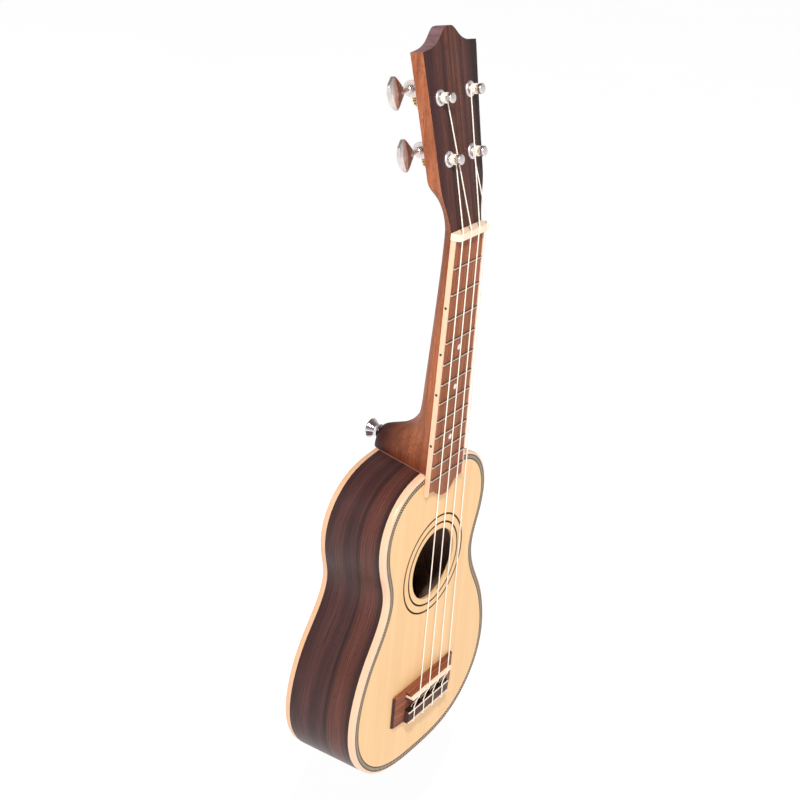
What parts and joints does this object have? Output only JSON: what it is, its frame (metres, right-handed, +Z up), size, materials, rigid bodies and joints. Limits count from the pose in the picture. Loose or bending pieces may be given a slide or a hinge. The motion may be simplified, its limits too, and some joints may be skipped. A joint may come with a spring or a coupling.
{
  "type": "soprano ukulele",
  "caption": "Figure-eight hollow body with a round soundhole, fretted neck, scrolled flat headstock with geared tuners, strings over a saddle and tie bridge.",
  "frame": {"origin": "on the centre line, at the fingerboard's face plane and the nut's front edge, where the neck narrows above the place a wall hanger's yoke holds it", "axes": "+Z up the neck to the headstock, +Y from the soundboard to the back, +X to the player's treble side"},
  "size_m": [0.1768, 0.0748, 0.5423],
  "materials": {
    "spruce": "satin",
    "rosewood": "gloss",
    "mahogany": "satin",
    "board_wood": "satin",
    "front_binding": "gloss",
    "back_binding": "gloss",
    "purfling": "satin",
    "rosette": "satin",
    "inner_wood": "unfinished",
    "bone": "satin",
    "fret_wire": "polished",
    "nylon": "gloss",
    "nickel": "polished",
    "chrome": "polished"
  },
  "bodies": {
    "body": {"soundboard": "spruce", "back": "rosewood", "side_left": "rosewood", "side_right": "rosewood", "binding_front": "front_binding", "binding_back": "back_binding", "purfling": "purfling", "rosette_inner": "rosette", "rosette_outer": "rosette", "lining_front": "inner_wood", "lining_back": "inner_wood", "neck_block": "inner_wood", "tail_block": "inner_wood", "top_brace_upper": "inner_wood", "top_brace_lower": "inner_wood", "bridge_patch": "inner_wood", "back_brace_upper": "inner_wood", "back_brace_lower": "inner_wood", "neck": "mahogany", "headstock_veneer": "rosewood", "fingerboard": "board_wood", "fingerboard_binding_left": "front_binding", "fingerboard_binding_right": "front_binding", "nut": "bone", "saddle": "bone", "bridge": "board_wood", "strap_button": "chrome", "strap_screw": "chrome", "fret_01": "fret_wire", "fret_02": "fret_wire", "fret_03": "fret_wire", "fret_04": "fret_wire", "fret_05": "fret_wire", "fret_06": "fret_wire", "fret_07": "fret_wire", "fret_08": "fret_wire", "fret_09": "fret_wire", "fret_10": "fret_wire", "fret_11": "fret_wire", "fret_12": "fret_wire", "string_g": "nylon", "string_c": "nylon", "string_e": "nylon", "string_a": "nylon", "tuner_bushing_upper_left": "nickel", "tuner_plate_upper_left": "nickel", "tuner_bushing_upper_right": "nickel", "tuner_plate_upper_right": "nickel", "tuner_bushing_lower_left": "nickel", "tuner_plate_lower_left": "nickel", "tuner_bushing_lower_right": "nickel", "tuner_plate_lower_right": "nickel"},
    "post_upper_left": {"tuner_post_upper_left": "nickel"},
    "button_upper_left": {"tuner_button_upper_left": "nickel"},
    "post_upper_right": {"tuner_post_upper_right": "nickel"},
    "button_upper_right": {"tuner_button_upper_right": "nickel"},
    "post_lower_left": {"tuner_post_lower_left": "nickel"},
    "button_lower_left": {"tuner_button_lower_left": "nickel"},
    "post_lower_right": {"tuner_post_lower_right": "nickel"},
    "button_lower_right": {"tuner_button_lower_right": "nickel"}
  },
  "joints": [
    {"name": "button_upper_left_turn", "type": "hinge", "parent": "body", "child": "button_upper_left", "pos_m": [-0.0178, 0.03824, 0.09213], "axis": [-1, 0, 0], "continuous": true},
    {"name": "post_upper_left_turn", "type": "hinge", "parent": "body", "child": "post_upper_left", "pos_m": [-0.0178, 0.02111, 0.08855], "axis": [0, -0.9777, 0.2101], "continuous": true},
    {"name": "button_upper_right_turn", "type": "hinge", "parent": "body", "child": "button_upper_right", "pos_m": [0.0178, 0.03824, 0.09213], "axis": [1, 0, 0], "continuous": true},
    {"name": "post_upper_right_turn", "type": "hinge", "parent": "body", "child": "post_upper_right", "pos_m": [0.0178, 0.02111, 0.08855], "axis": [0, -0.9777, 0.2101], "continuous": true},
    {"name": "button_lower_left_turn", "type": "hinge", "parent": "body", "child": "button_lower_left", "pos_m": [-0.0141, 0.03, 0.0538], "axis": [-1, 0, 0], "continuous": true},
    {"name": "post_lower_left_turn", "type": "hinge", "parent": "body", "child": "post_lower_left", "pos_m": [-0.0141, 0.01287, 0.05022], "axis": [0, -0.9777, 0.2101], "continuous": true},
    {"name": "button_lower_right_turn", "type": "hinge", "parent": "body", "child": "button_lower_right", "pos_m": [0.0141, 0.03, 0.0538], "axis": [1, 0, 0], "continuous": true},
    {"name": "post_lower_right_turn", "type": "hinge", "parent": "body", "child": "post_lower_right", "pos_m": [0.0141, 0.01287, 0.05022], "axis": [0, -0.9777, 0.2101], "continuous": true}
  ],
  "couplings": [
    {"joint": "button_upper_left_turn", "follows": "post_upper_left_turn", "ratio": -14},
    {"joint": "button_upper_right_turn", "follows": "post_upper_right_turn", "ratio": 14},
    {"joint": "button_lower_left_turn", "follows": "post_lower_left_turn", "ratio": -14},
    {"joint": "button_lower_right_turn", "follows": "post_lower_right_turn", "ratio": 14}
  ]
}
